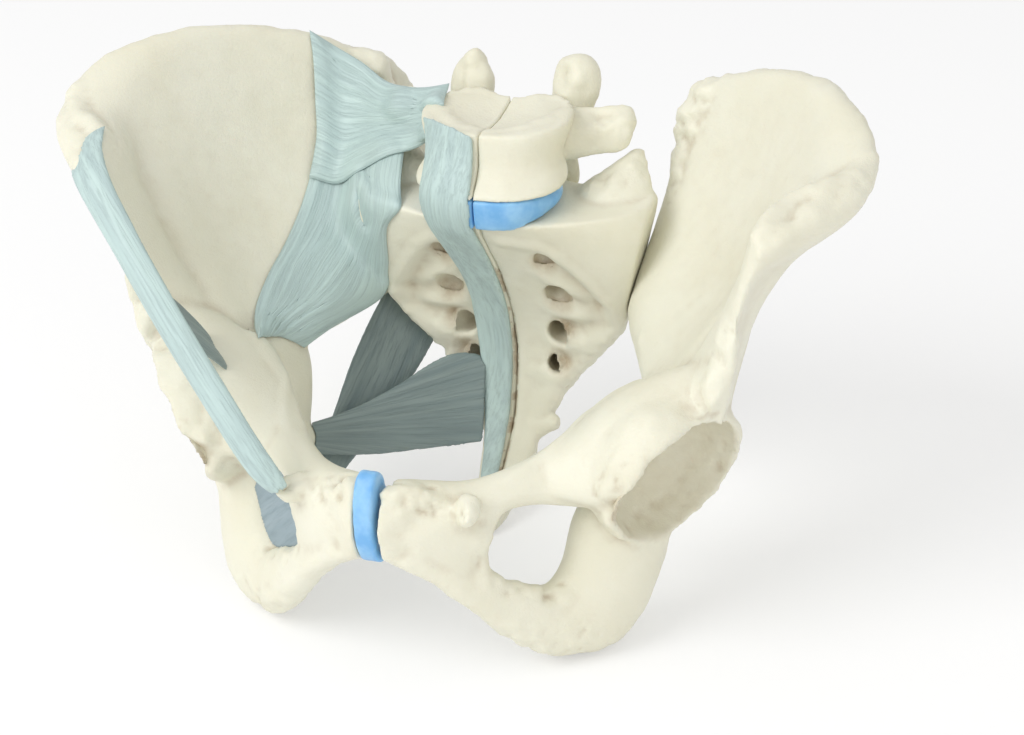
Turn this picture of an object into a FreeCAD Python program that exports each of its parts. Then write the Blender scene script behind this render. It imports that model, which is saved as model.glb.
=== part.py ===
"""Female pelvis teaching model, life size, with moulded ligaments on its right side.

The bones are cast pieces: two hip bones, and the sacrum with its coccyx, the last disc and the last lumbar
vertebra, which are all split along the median plane, so that the model comes apart into halves. Moulded
ligaments are glued to the right half. Every point is given in the anatomical standing frame: X to the
subject's left, Y backwards, Z up, with the origin at the front of the pubic symphysis. The whole model is
then leaned back until it rests on its ischial tuberosities and the tip of its coccyx.
"""

import FreeCAD
import Part
import os

Vector = FreeCAD.Vector
doc = FreeCAD.newDocument("pelvis_model")
sheet = doc.addObject("Spreadsheet::Sheet", "dimensions")
size_names = []


def size(alias, value):
    """One driving dimension, in millimetres or degrees, as a named cell of the sheet."""
    size_names.append(alias)
    row = len(size_names)
    sheet.set("A%d" % row, alias)
    sheet.set("B%d" % row, str(value))
    sheet.setAlias("B%d" % row, alias)


# Overall size of the skeleton
CREST_BREADTH = 282.0
PELVIS_DEPTH = 155.0
PELVIS_HEIGHT = 203.0

# How the model leans back and where it meets the table
REST_TILT = 30.0
REST_SHIFT_Y = 86.45
REST_LIFT_Z = 76.75

# Hip bone
CREST_THICKNESS = 14.0
WING_THICKNESS = 5.5
SOCKET_DIAMETER = 48.0
SOCKET_RIM_WALL = 2.8
SOCKET_FOSSA_DIAMETER = 25.0
SYMPHYSIS_WIDTH = 8.0
JOINT_GAP = 0.5

# Sacrum, coccyx and last lumbar vertebra
SACRAL_CANAL_WIDTH = 22.0
SACRAL_HOLE_DIAMETER = 7.5
VERTEBRA_WIDTH = 48.5
VERTEBRA_DEPTH = 33.0
ENDPLATE_DISH_DEPTH = 2.2
SPLIT_GAP = 0.4

# Moulded ligaments
LIGAMENT_THICKNESS = 3.0
MEMBRANE_THICKNESS = 1.6

# Hidden steel pins that line the halves up
PIN_DIAMETER = 5.0
PIN_LENGTH = 16.0
PIN_CLEARANCE = 0.1

# The same sizes as cells of the sheet
size("crest_breadth", CREST_BREADTH)
size("pelvis_depth", PELVIS_DEPTH)
size("pelvis_height", PELVIS_HEIGHT)
size("rest_tilt", REST_TILT)
size("rest_shift_y", REST_SHIFT_Y)
size("rest_lift_z", REST_LIFT_Z)
size("crest_thickness", CREST_THICKNESS)
size("wing_thickness", WING_THICKNESS)
size("socket_diameter", SOCKET_DIAMETER)
size("socket_rim_wall", SOCKET_RIM_WALL)
size("socket_fossa_diameter", SOCKET_FOSSA_DIAMETER)
size("symphysis_width", SYMPHYSIS_WIDTH)
size("joint_gap", JOINT_GAP)
size("sacral_canal_width", SACRAL_CANAL_WIDTH)
size("sacral_hole_diameter", SACRAL_HOLE_DIAMETER)
size("vertebra_width", VERTEBRA_WIDTH)
size("vertebra_depth", VERTEBRA_DEPTH)
size("endplate_dish_depth", ENDPLATE_DISH_DEPTH)
size("split_gap", SPLIT_GAP)
size("ligament_thickness", LIGAMENT_THICKNESS)
size("membrane_thickness", MEMBRANE_THICKNESS)
size("pin_diameter", PIN_DIAMETER)
size("pin_length", PIN_LENGTH)
size("pin_clearance", PIN_CLEARANCE)

doc.recompute()


def read(alias):
    return float(sheet.get(alias))


# The points below are those of a skeleton of this size, and follow the overall sizes above
DRAWN_BREADTH = 282.0
DRAWN_DEPTH = 155.0
DRAWN_HEIGHT = 203.0
WIDTH_RATIO = read("crest_breadth") / DRAWN_BREADTH
DEPTH_RATIO = read("pelvis_depth") / DRAWN_DEPTH
HEIGHT_RATIO = read("pelvis_height") / DRAWN_HEIGHT


def point(x, y, z):
    """A point of the skeleton, stretched with the overall sizes."""
    return Vector(x * WIDTH_RATIO, y * DEPTH_RATIO, z * HEIGHT_RATIO)


def unit(vector):
    direction = Vector(vector)
    direction.normalize()
    return direction


def skin(rings):
    """A closed solid: one smooth surface over rings of control points, flat at the first and last ring."""
    ring_count = len(rings)
    point_count = len(rings[0])
    surface = Part.BSplineSurface()
    surface.buildFromPolesMultsKnots(
        rings,
        [4] + [1] * (ring_count - 4) + [4],
        [1] * (point_count + 1),
        list(range(ring_count - 2)),
        list(range(point_count + 1)),
        False, True, 3, 3)
    side = surface.toShape()
    rims = [edge for edge in side.Edges if not edge.isSeam(side)]
    caps = [Part.Face(Part.Wire([rim])) for rim in rims]
    solid = Part.Solid(Part.Shell([side] + caps))
    solid.fix(1e-4, 1e-4, 1e-4)
    return solid


def oval(centre, wide, deep, roundness=0.72):
    """Eight control points about a centre: wide and deep are the two half axes, as vectors."""
    corner = roundness
    return [centre + wide * 1.2, centre + wide * corner + deep * corner, centre + deep * 1.2,
            centre - wide * corner + deep * corner, centre - wide * 1.2,
            centre - wide * corner - deep * corner, centre - deep * 1.2,
            centre + wide * corner - deep * corner]


def biggest(shape):
    return max(shape.Solids, key=lambda solid: solid.Volume)


# Hip bone of the left side

def wing_ring(top, foot, outward, walls, bow=0.0, inner=(0.0, 0.0, 0.0)):
    """Section through the iliac wing, from its crest down to its foot near the socket.

    walls gives the thickness at the crest, at the middle and at the foot, bow moves the middle outwards, and
    inner thickens the inner side at three heights, where the wing carries the sacrum.
    """
    crest, middle, base = walls
    down = foot - top
    length = down.Length
    down = unit(down)
    out = unit(outward - down * outward.dot(down))
    lip = 0.5 * crest / length

    def at(share, side):
        bend = bow * 4.0 * share * (1.0 - share)
        return top + down * (share * length) + out * (side + bend)

    return [
        at(-0.5 * lip, 0.0),
        at(0.25 * lip, 0.62 * crest), at(1.5 * lip, 0.56 * crest),
        at(0.30, 0.60 * middle), at(0.55, 0.58 * middle), at(0.80, 0.52 * base), at(0.98, 0.60 * base),
        at(1.05, 0.0),
        at(0.98, -0.60 * base - inner[2]), at(0.80, -0.52 * base - inner[1]),
        at(0.55, -0.58 * middle - inner[1]), at(0.30, -0.60 * middle - inner[0]),
        at(1.5 * lip, -0.56 * crest - 0.5 * inner[0]), at(0.25 * lip, -0.62 * crest)]


def iliac_wing():
    crest = read("crest_thickness")
    wing = read("wing_thickness")
    rings = [
        wing_ring(point(113, 3.5, 81), point(99.5, 27, 48), Vector(0.8, -0.5, -0.3), (4, 3, 5)),
        wing_ring(point(114.5, 4.5, 84), point(99, 29, 44), Vector(0.8, -0.5, -0.3), (9, 5, 11), -1),
        wing_ring(point(118, 8.5, 89), point(97.5, 35, 35), Vector(0.8, -0.5, -0.3), (crest, wing + 1, 16), -6),
        wing_ring(point(127, 17, 97), point(92, 42, 26), Vector(0.85, -0.45, -0.25),
                  (crest + 3, wing + 1, 19), -9),
        wing_ring(point(136, 27, 105), point(87, 46, 16), Vector(0.9, -0.3, -0.3), (crest + 4, wing + 1, 21), -9),
        wing_ring(point(135.5, 37, 120), point(82, 54, 18), Vector(0.92, -0.1, -0.35),
                  (crest + 2, wing, 23), -7),
        wing_ring(point(125, 50, 133), point(78, 62, 20), Vector(0.9, 0.1, -0.4), (crest - 2, wing, 23), 0),
        wing_ring(point(109, 68, 142), point(73, 71, 26), Vector(0.85, 0.4, -0.4), (crest - 4, wing, 22), 5),
        wing_ring(point(90, 87, 145), point(68, 81, 35), Vector(0.75, 0.6, -0.3),
                  (crest - 4, wing, 20), 6, (0, 2, 2)),
        wing_ring(point(71, 104, 143), point(62, 93, 44), Vector(0.75, 0.65, -0.2),
                  (crest - 3, wing + 2, 18), 5, (1, 6, 4)),
        wing_ring(point(56, 119, 140), point(56, 107, 52), Vector(0.8, 0.6, 0.0),
                  (crest, wing + 5, 18), 4, (5, 9, 3)),
        wing_ring(point(50, 136, 123), point(50, 121, 62), Vector(0.85, 0.5, 0.1),
                  (crest + 1, wing + 6, 16), 3, (4, 5, 1)),
        wing_ring(point(45, 148, 108), point(46, 135, 72), Vector(0.9, 0.3, 0.1), (crest, wing + 6, 13), 1),
        wing_ring(point(44, 152, 102), point(45, 140, 79), Vector(0.9, 0.3, 0.1), (7, 6, 7)),
    ]
    return skin(rings)


def arch_ring(inner, outer, wall, backward=0.0):
    """Section through the bar around the obturator opening, from its inner edge to its outer edge."""
    across = outer - inner
    reach = across.Length
    across = unit(across)
    back = unit(ARCH_BACK - across * ARCH_BACK.dot(across))

    def at(share, side):
        return inner + across * (share * reach) + back * (side * wall + backward)

    return [at(-0.06, 0.0), at(0.06, 0.36), at(0.5, 0.58), at(0.94, 0.5),
            at(1.08, 0.0), at(0.94, -0.5), at(0.5, -0.58), at(0.06, -0.36)]


# Direction through the obturator opening, from the front to the pelvic side
ARCH_BACK = Vector(-0.621, 0.719, 0.313)


def pubis_and_ischium():
    rings = [
        arch_ring(point(68, 46, 0), point(67, 50, 37), 28, -4),
        arch_ring(point(61, 40, -5), point(60, 45, 32), 26, -4),
        arch_ring(point(54.5, 36, -5), point(54, 42, 23), 18, -1),
        arch_ring(point(47, 30, -5), point(46, 38, 13.5), 12),
        arch_ring(point(40.5, 24.5, -6.5), point(36, 31, 4.5), 11.5),
        arch_ring(point(36.5, 22, -9.5), point(24, 21, -3), 12),
        arch_ring(point(34, 22.5, -15), point(2, 5, -2.5), 15),
        arch_ring(point(32.5, 23.5, -21.5), point(-14, -4, -14), 16),
        arch_ring(point(31.8, 26.5, -27.5), point(-7, 7, -26), 13),
        arch_ring(point(34.5, 30.5, -30.5), point(17.5, 18, -32.5), 10),
        arch_ring(point(41, 36, -31.7), point(30.5, 33, -44), 10),
        arch_ring(point(46, 41, -33), point(42, 46, -53), 12),
        arch_ring(point(50, 44.5, -33), point(56, 58, -55.5), 18, 3),
        arch_ring(point(54, 45.5, -28), point(70, 67, -46), 24, 5),
        arch_ring(point(56.5, 44.5, -21), point(77, 69, -30), 25, 6),
        arch_ring(point(57.5, 43, -13), point(79, 67, -12), 24, 6),
        arch_ring(point(60, 44, -4), point(82, 65, 4), 24, 4),
    ]
    return skin(rings)


def socket_column():
    """The thick column behind the hip socket, from the arcuate line down to the ischial tuberosity."""
    levels = [
        (40, [(68, 60), (67, 70), (66, 80), (68, 84), (72, 80), (75, 70), (74, 60), (71, 57)]),
        (36, [(65, 54), (63, 68), (62, 82), (64, 87), (73, 83), (79, 70), (79, 56), (72, 51)]),
        (28, [(62, 46), (60, 62), (58, 80), (61, 88), (72, 84), (82, 68), (84, 52), (74, 42)]),
        (14, [(61, 43), (60, 60), (58, 78), (59, 89), (68, 88), (80, 72), (84, 52), (74, 40)]),
        (2, [(60, 44), (60, 62), (59, 80), (59, 91), (66, 90), (79, 74), (83, 54), (72, 42)]),
        (-12, [(60, 48), (60, 60), (61, 76), (63, 84), (72, 84), (80, 72), (80, 56), (70, 46)]),
        (-26, [(60, 50), (60, 60), (63, 74), (68, 80), (75, 79), (79, 69), (77, 57), (68, 50)]),
        (-34, [(62, 54), (62, 60), (65, 68), (69, 72), (73, 71), (75, 65), (73, 59), (67, 54)]),
    ]
    return skin([[point(x, y, height) for x, y in outline] for height, outline in levels])


# The hip socket looks outwards, forwards and down
SOCKET_CENTRE = point(85.5, 44.6, 8)
SOCKET_AXIS = unit(Vector(0.81, -0.23, -0.54))
SOCKET_PLACE = FreeCAD.Placement(SOCKET_CENTRE, FreeCAD.Rotation(Vector(0, 0, 1), SOCKET_AXIS))


def socket_wall():
    """A turned cup that gives the socket its raised rim."""
    bore = read("socket_diameter") / 2.0
    rim = bore + read("socket_rim_wall")
    curve = Part.BSplineCurve()
    curve.interpolate([Vector(0, 0, -1.12 * bore), Vector(0.55 * bore, 0, -1.05 * bore),
                       Vector(0.90 * bore, 0, -0.80 * bore), Vector(rim - 0.2, 0, -0.40 * bore),
                       Vector(rim, 0, -1.5), Vector(rim - 0.8, 0, 1.6), Vector(bore - 0.4, 0, 2.4)])
    profile = Part.Wire([curve.toShape(),
                         Part.makeLine(Vector(bore - 0.4, 0, 2.4), Vector(0, 0, 2.4)),
                         Part.makeLine(Vector(0, 0, 2.4), Vector(0, 0, -1.12 * bore))])
    cup = Part.Face(profile).revolve(Vector(0, 0, 0), Vector(0, 0, 1), 360)
    cup.Placement = SOCKET_PLACE
    return cup


def socket_front():
    """The swelling in front of the socket, from the upper branch of the pubis to the front border of the wing."""
    down = unit(Vector(0.52, -0.59, -0.62))
    out = unit(Vector(-0.35, -0.70, 0.60))
    stations = [((44, 33, 3), 8, 5.5), ((52, 35.5, 5), 12, 8), ((61, 38.5, 7), 18, 12.5),
                ((72.5, 38.5, 14), 22, 16.5), ((83, 41, 24), 20, 16), ((91, 42.5, 34), 13, 10.5),
                ((96, 41.5, 40), 6, 5)]
    return skin([oval(point(*place), down * wide, out * deep) for place, wide, deep in stations])


def lower_front_spine():
    """The blunt spine on the front border, just above the socket."""
    return bar([((92, 42, 36), (0, 0, 9), (6, 0, 0)), ((96, 35, 36.5), (0, 0, 9), (6, 0, 0)),
                ((98.5, 29.5, 37.5), (0, 0, 8), (5, 0, 0)), ((99, 26.5, 38), (0, 0, 5), (3, 0, 0))])


def ischial_spine():
    tip = point(59, 94, 2)
    root = point(63, 82, 4)
    along = unit(tip - root)
    length = (tip - root).Length
    rings = []
    for share, high, thick in ((0.0, 9, 4.5), (0.35, 7, 4), (0.7, 4.5, 3), (1.0, 1.5, 1.2)):
        centre = root + along * (share * length)
        rings.append(oval(centre, Vector(0, 0, high), Vector(thick, 0, 0)))
    return skin(rings)


def pubic_tubercle():
    rings = []
    for share, high, thick in ((0.0, 5, 5), (0.4, 5, 4.5), (0.75, 4, 3.6), (1.0, 1.6, 1.5)):
        centre = point(29 + 3 * share, 12 - 10 * share, -10 - 2 * share)
        rings.append(oval(centre, Vector(0, 0, high), Vector(thick, 0, 0)))
    return skin(rings)


# Plane of the sacroiliac joint on the left side
JOINT_POINT = point(54, 88, 95)
JOINT_NORMAL = unit(Vector(1.0, 0.2, -0.18))
FAR = 400.0


def half_space(origin, normal):
    """A large block that fills the side of a plane that its normal points to."""
    block = Part.makeBox(FAR, FAR, FAR, Vector(-FAR / 2, -FAR / 2, 0))
    block.Placement = FreeCAD.Placement(origin, FreeCAD.Rotation(Vector(0, 0, 1), normal))
    return block


def hip_bone():
    bone = iliac_wing().fuse([pubis_and_ischium(), socket_column(), socket_wall(), socket_front(),
                              lower_front_spine(), ischial_spine(), pubic_tubercle()])
    bore = read("socket_diameter") / 2.0
    bone = bone.cut(Part.makeSphere(bore, SOCKET_CENTRE + SOCKET_AXIS * 1.5))
    fossa = Part.makeSphere(read("socket_fossa_diameter") / 2.0,
                            SOCKET_CENTRE - SOCKET_AXIS * (bore - 8.5) + Vector(-1, 2, -4))
    bone = bone.cut(fossa)
    face = read("symphysis_width") / 2.0
    bone = bone.cut(half_space(Vector(face, 0, 0), Vector(-1, 0, 0)))
    return biggest(bone)


# Sacrum and coccyx, as one whole piece that is split afterwards

def sacral_ring(front, back, half_width, middle_depth, side_depth, hollow):
    """Section through the sacrum, across its curved axis.

    front is the middle of the pelvic face as (y, z), back the direction from there to the dorsal face, and
    hollow says how far the sides come forward of the middle.
    """
    origin = point(0, front[0], front[1])
    rearward = unit(Vector(0, back[0], back[1]))

    def at(side, depth):
        return origin + Vector(side * half_width * WIDTH_RATIO, 0, 0) + rearward * depth

    half = [at(0.42, -0.25 * hollow), at(0.86, -0.95 * hollow), at(1.1, -hollow + 0.35 * side_depth),
            at(1.02, -hollow + 1.0 * side_depth), at(0.62, 0.55 * middle_depth + 0.3 * side_depth),
            at(0.30, 0.86 * middle_depth), at(0.06, 1.12 * middle_depth)]
    other = [Vector(-spot.x, spot.y, spot.z) for spot in reversed(half)]
    return [at(0, 0)] + half + other


def sacral_block():
    rings = [
        sacral_ring((64.6, 81.9), (0.82, 0.57), 50, 44, 30, -13),
        sacral_ring((70, 79.3), (0.80, 0.60), 54, 44, 30, -9),
        sacral_ring((78, 76), (0.76, 0.65), 54, 43, 29, -3),
        sacral_ring((88.5, 71.6), (0.70, 0.71), 52, 41, 27, 3),
        sacral_ring((99, 66), (0.66, 0.75), 49, 37, 24, 6),
        sacral_ring((109, 59.5), (0.68, 0.73), 44, 32, 20, 8),
        sacral_ring((117, 52), (0.78, 0.62), 36.5, 27, 16, 8),
        sacral_ring((123, 43), (0.90, 0.43), 28, 22, 12.5, 7),
        sacral_ring((126.5, 32), (0.98, 0.20), 18.5, 17, 9.5, 5),
        sacral_ring((127.5, 22), (1.0, 0.0), 12.5, 12.5, 8, 2.5),
        sacral_ring((126.8, 15), (0.99, -0.12), 10, 9, 6.5, 1),
        sacral_ring((125, 8), (0.96, -0.26), 9.5, 8, 6, 0.5),
        sacral_ring((121, -3), (0.94, -0.34), 8, 7, 5.5, 0.5),
        sacral_ring((116.5, -13), (0.90, -0.43), 6, 6.5, 5, 0.5),
        sacral_ring((112.8, -18), (0.86, -0.5), 4.5, 5.5, 4.5, 0.5),
        sacral_ring((111, -21.2), (0.86, -0.5), 2, 3, 2.5, 0.2),
    ]
    return skin(rings)


def mirrored(shape):
    return shape.mirror(Vector(0, 0, 0), Vector(1, 0, 0))


def wing_corner():
    """The raised hind corner of the left sacral wing."""
    rings = []
    for x, y, z, wide, deep in ((35, 91, 88, 17, 9), (37, 91.5, 97, 15, 8), (40.5, 93, 105, 10, 6.5),
                                (43, 94.5, 111, 5, 4.5), (44, 95.5, 115.5, 2, 2)):
        rings.append(oval(point(x, y, z), Vector(wide, 0, 0), Vector(0, deep, 0)))
    return skin(rings)


def middle_crest():
    """The row of fused spines down the back of the sacrum."""
    stations = []
    for y, z, high, wide in ((126, 108, 5, 3.5), (131, 104, 9, 4), (134.5, 97, 11, 4.5), (137, 90, 8.5, 4),
                             (140.5, 83, 11, 4.5), (142.5, 76, 8, 4), (144.5, 69, 9.5, 4.5), (145.5, 61, 6.5, 4),
                             (146, 53, 7.5, 4), (144, 44, 4.5, 3.5), (141, 36, 3, 3)):
        stations.append(((0, y, z), (wide, 0, 0), (0, high * 0.9, high * 0.45)))
    return bar(stations)


def side_crest():
    """The low row of knobs beside the dorsal holes of the left side."""
    stations = []
    for x, y, z, high in ((33, 124, 97, 4), (33, 129, 89, 7.5), (30, 133, 80, 4.5), (27.5, 137, 71, 7),
                          (24.5, 139, 62, 4.5), (21, 140, 53, 6), (17, 139, 44, 3.5), (13, 137, 36, 4.5)):
        stations.append(((x, y, z), (4.5, 0, 0), (0, high * 0.9, high * 0.4)))
    return bar(stations)


def coccyx_horn():
    """The short side process of the first coccygeal segment."""
    rings = []
    for x, y, z, high, deep in ((6, 130, 17, 6, 4), (10, 129.5, 18, 5, 3.5), (14, 128.5, 19, 4, 3),
                                (17.5, 127.5, 19.5, 1.8, 1.5)):
        rings.append(oval(point(x, y, z), Vector(0, 0, high), Vector(0, deep, 0)))
    return skin(rings)


# Front openings of the sacral holes on the left side, the direction they run and their share of the diameter
SACRAL_HOLES = [
    ((21.2, 77.3, 70.5), (0.35, 0.80, 0.48), 1.0),
    ((20.4, 97.5, 62), (0.35, 0.75, 0.56), 1.0),
    ((17.1, 117, 52.5), (0.35, 0.85, 0.40), 0.9),
    ((15.3, 125, 41), (0.35, 0.92, 0.15), 0.7),
]


def sacral_hole(place, direction, share):
    """A funnel that opens on the pelvic face and narrows towards the canal."""
    wide = read("sacral_hole_diameter") * share / 2.0
    inward = unit(Vector(-direction[0], direction[1], direction[2]))
    return Part.makeCone(1.6 * wide, 0.6 * wide, 17, point(*place) - inward * 5, inward)


def sacral_canal():
    """The three-cornered canal that runs down behind the vertebral bodies."""
    half = read("sacral_canal_width") / 2.0
    rings = []
    for y, z, width, height, back in ((84, 104, 1.0, 9, (0.70, 0.71)), (92, 98, 1.0, 9, (0.62, 0.78)),
                                      (101, 91, 0.9, 8, (0.55, 0.83)), (113, 82, 0.75, 6.5, (0.55, 0.83)),
                                      (124, 72, 0.6, 5, (0.7, 0.7)), (133, 60, 0.45, 4, (0.85, 0.5)),
                                      (138, 46, 0.35, 3.5, (1.0, 0.2)), (141, 33, 0.3, 3.5, (1.0, 0.0))):
        rear = unit(Vector(0, back[0], back[1]))
        rings.append(oval(point(0, y, z), Vector(half * width, 0, 0), rear * height, 0.6))
    return skin(rings)


def whole_sacrum():
    horns = [wing_corner(), coccyx_horn(), side_crest()]
    block = sacral_block().fuse(horns + [mirrored(horn) for horn in horns] + [middle_crest()])
    holes = [sacral_hole(*hole) for hole in SACRAL_HOLES]
    return biggest(block.cut(holes + [mirrored(hole) for hole in holes] + [sacral_canal()]))


# Last lumbar vertebra, also split afterwards

def body_ring(front, rear, wide, deep):
    """Kidney-shaped section of a vertebral body from its front middle (y, z) towards the rear."""
    origin = point(0, front[0], front[1])
    back = unit(Vector(0, rear[0], rear[1]))

    def at(side, depth):
        return origin + Vector(side * wide * WIDTH_RATIO, 0, 0) + back * (depth * deep)

    half = [at(0.52, -0.02), at(0.98, 0.22), at(1.12, 0.55), at(0.95, 0.92), at(0.55, 1.08)]
    other = [Vector(-spot.x, spot.y, spot.z) for spot in reversed(half)]
    return [at(0, -0.03)] + half + [at(0, 0.93)] + other


PLATE_LOW = (0.86, 0.52)
PLATE_TOP = (0.85, 0.53)


def vertebra_body():
    wide = read("vertebra_width") / 2.0
    deep = read("vertebra_depth")
    rings = [
        body_ring((59.0, 89.9), PLATE_LOW, wide, deep),
        body_ring((58.2, 91.5), PLATE_LOW, wide + 1, deep + 1.5),
        body_ring((60.6, 96.5), PLATE_LOW, wide - 2, deep - 2.5),
        body_ring((61.0, 103), PLATE_TOP, wide - 2.8, deep - 3),
        body_ring((57.0, 110.3), PLATE_TOP, wide + 0.8, deep + 1),
        body_ring((57.0, 112.2), PLATE_TOP, wide, deep),
    ]
    body = skin(rings)
    dish = read("endplate_dish_depth")
    radius = (17.0 ** 2 + dish ** 2) / (2 * dish)
    back = unit(Vector(0, PLATE_TOP[0], PLATE_TOP[1]))
    up = Vector(0, -back.z, back.y)
    middle = point(0, 57.0, 112.2) + back * (0.5 * deep)
    return body.cut(Part.makeSphere(radius, middle + up * (radius - dish)))


def bar(stations):
    """A smooth rod through stations of (x, y, z, first half axis, second half axis)."""
    return skin([oval(point(*place), Vector(*first), Vector(*second)) for place, first, second in stations])


def vertebra_processes():
    """Side process and the two joint processes of the left side."""
    across = bar([((13, 85, 116), (0, 0, 9), (0, 6, 0)), ((21, 87, 117.5), (0, 0, 9), (0, 5.5, 0)),
                  ((29, 88, 119.5), (0, 0, 8), (0, 4.5, 0)), ((36, 88.5, 121), (0, 0, 8), (0, 4, 0)),
                  ((41, 89, 122), (0, 0, 8), (0, 3.5, 0)), ((43, 89, 122.5), (0, 0, 5.5), (0, 2, 0))])
    upper = bar([((17, 96, 117), (7, 0, 0), (0, 6, 0)), ((18, 96, 125), (7.5, 0, 0), (0, 6.5, 0)),
                 ((19, 95, 132), (7.5, 0, 0), (0, 7, 0)), ((19, 93.5, 138), (7, 0, 0), (0, 6, 0)),
                 ((18.5, 93, 142), (4, 0, 0), (0, 3.5, 0))])
    lower = bar([((13, 104, 117), (5, 0, 0), (0, 4, 0)), ((14, 106, 111), (5.5, 0, 0), (0, 4, 0)),
                 ((15, 109, 106), (5.5, 0, 0), (0, 4, 0)), ((15.5, 110.5, 102), (3, 0, 0), (0, 2.5, 0))])
    return [across, upper, lower]


def neural_arch():
    """The bony arch behind the canal, from the left root round to the right root."""
    left = [((17, 84, 118), (0, 0, 7), (5.5, 0, 0)), ((17.5, 92, 120), (0, 0, 7.5), (5.5, 1, 0)),
            ((15, 100, 120), (0, 0, 9), (4.5, 2.5, 0)), ((9, 107, 118), (0, 0, 8.5), (2.5, 4, 0)),
            ((3, 110.5, 115), (0, 0, 8.5), (0.5, 4.5, 0))]
    right = [((-place[0], place[1], place[2]), high, (-deep[0], deep[1], deep[2]))
             for place, high, deep in reversed(left)]
    return bar(left + right)


def spinous_process():
    return bar([((0, 106, 114), (0, 0, 8), (4, 0, 0)), ((0, 112, 112.5), (0, 0, 8), (3.5, 0, 0)),
                ((0, 121, 110), (0, 0, 8.5), (3.5, 0, 0)), ((0, 129, 107.5), (0, 0, 8), (4, 0, 0)),
                ((0, 132, 106.5), (0, 0, 5), (2.5, 0, 0))])


def whole_vertebra():
    left = vertebra_processes()
    pieces = left + [mirrored(piece) for piece in left] + [neural_arch(), spinous_process()]
    return biggest(vertebra_body().fuse(pieces))


def whole_disc():
    """The last disc: it fills the wedge between the two end plates and bulges a little."""
    wide = read("vertebra_width") / 2.0
    deep = read("vertebra_depth")
    rings = [
        body_ring((64.9, 81.2), (0.82, 0.57), wide - 1, deep - 1),
        body_ring((63.0, 83.0), (0.83, 0.555), wide + 0.6, deep + 1),
        body_ring((61.5, 85.2), (0.84, 0.545), wide + 1.2, deep + 2),
        body_ring((60.0, 87.5), (0.85, 0.53), wide + 0.6, deep + 1),
        body_ring((59.0, 89.9), PLATE_LOW, wide - 1, deep - 1),
    ]
    return skin(rings)


def half_of(shape, side):
    """The left or right half of a piece that is split along the median plane."""
    gap = read("split_gap") / 2.0
    return biggest(shape.cut(half_space(Vector(side * gap, 0, 0), Vector(-side, 0, 0))))


# Pieces between the bones

def symphysis_disc():
    """The fibrous disc between the two pubic bones, a little proud of them."""
    reach = read("symphysis_width") / 2.0
    along = unit(point(0, 0.47, -0.88))
    across = Vector(0, -along.z, along.y)
    centre = point(0, 6.6, -15.6)
    rings = []
    for share, tall, deep in ((-1.0, 14.4, 7.0), (-0.6, 14.8, 7.5), (0.0, 14.2, 7.1), (0.6, 14.8, 7.5),
                              (1.0, 14.4, 7.0)):
        middle = centre + Vector(share * reach, 0, 0)
        rings.append(oval(middle, along * tall, across * deep, 0.85))
    return skin(rings)


# Moulded ligaments, described on the left side and mirrored to the right side afterwards

def flattened(ring):
    """The same control points, moved onto one plane, so that the end of a skin is flat."""
    origin = sum(ring, Vector(0, 0, 0)) * (1.0 / len(ring))
    count = len(ring)
    normal = Vector(0, 0, 0)
    for index in range(count):
        normal = normal + (ring[index] - origin).cross(ring[(index + 1) % count] - origin)
    normal = unit(normal)
    return [spot - normal * (spot - origin).dot(normal) for spot in ring]


def closed_sheet(rows, thick, outward):
    """A sheet of even thickness between rows of points, which lie on its inner face."""
    rings = []
    for row in rows:
        upper = [spot + outward * thick for spot in row]
        rings.append(upper + list(reversed(row)))
    rings[0] = flattened(rings[0])
    rings[-1] = flattened(rings[-1])
    return skin(rings)


def seat(spot, outward, bones):
    """The place on the bones next to a point, and the direction away from them there."""
    probe = spot + outward * 8.0
    foot = bones.distToShape(Part.Vertex(probe))[1][0][0]
    return foot, unit(probe - foot)


def blanket(rows, outward, bones, thick):
    """A sheet that hugs the bones: its rows of points are seated on them before it is made."""
    rings = []
    for row in rows:
        upper = []
        lower = []
        for place in row:
            foot, away = seat(point(*place), outward, bones)
            upper.append(foot + away * thick)
            lower.append(foot - away * 1.2)
        rings.append(upper + list(reversed(lower)))
    rings[0] = flattened(rings[0])
    rings[-1] = flattened(rings[-1])
    return skin(rings)


def anterior_sacroiliac(bones):
    rows = [
        [(72.5, 92, 111), (64, 96, 111), (55, 94, 112), (46, 90, 113), (37, 85, 109)],
        [(72.7, 89.5, 97), (63.5, 95, 98), (54, 92, 99), (44, 86, 100), (33, 77, 97)],
        [(73, 84.5, 83), (63, 91.5, 86), (52, 88.5, 87), (42, 79.5, 87), (32, 75.5, 85)],
        [(74, 77.4, 69.5), (64.5, 86, 73), (54, 91, 75), (46, 88, 76), (40, 84, 77)],
        [(75.2, 69.5, 58), (67, 79.3, 62), (57, 87.5, 63.5), (51, 93, 64), (46, 97, 66)],
        [(75, 62.5, 47), (70, 71.5, 50.5), (63, 79, 54), (57, 86, 55), (50, 94, 57)],
        [(71, 54.5, 40), (69, 61, 43.5), (66, 68, 47), (63, 74, 49.5), (60, 79.5, 51)],
        [(66, 47.5, 35), (65.5, 51, 37), (65, 55, 39), (64.5, 59, 40.5), (64, 62.5, 42)],
    ]
    return blanket(rows, unit(Vector(-0.45, -0.85, 0.2)), bones, read("ligament_thickness"))


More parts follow.
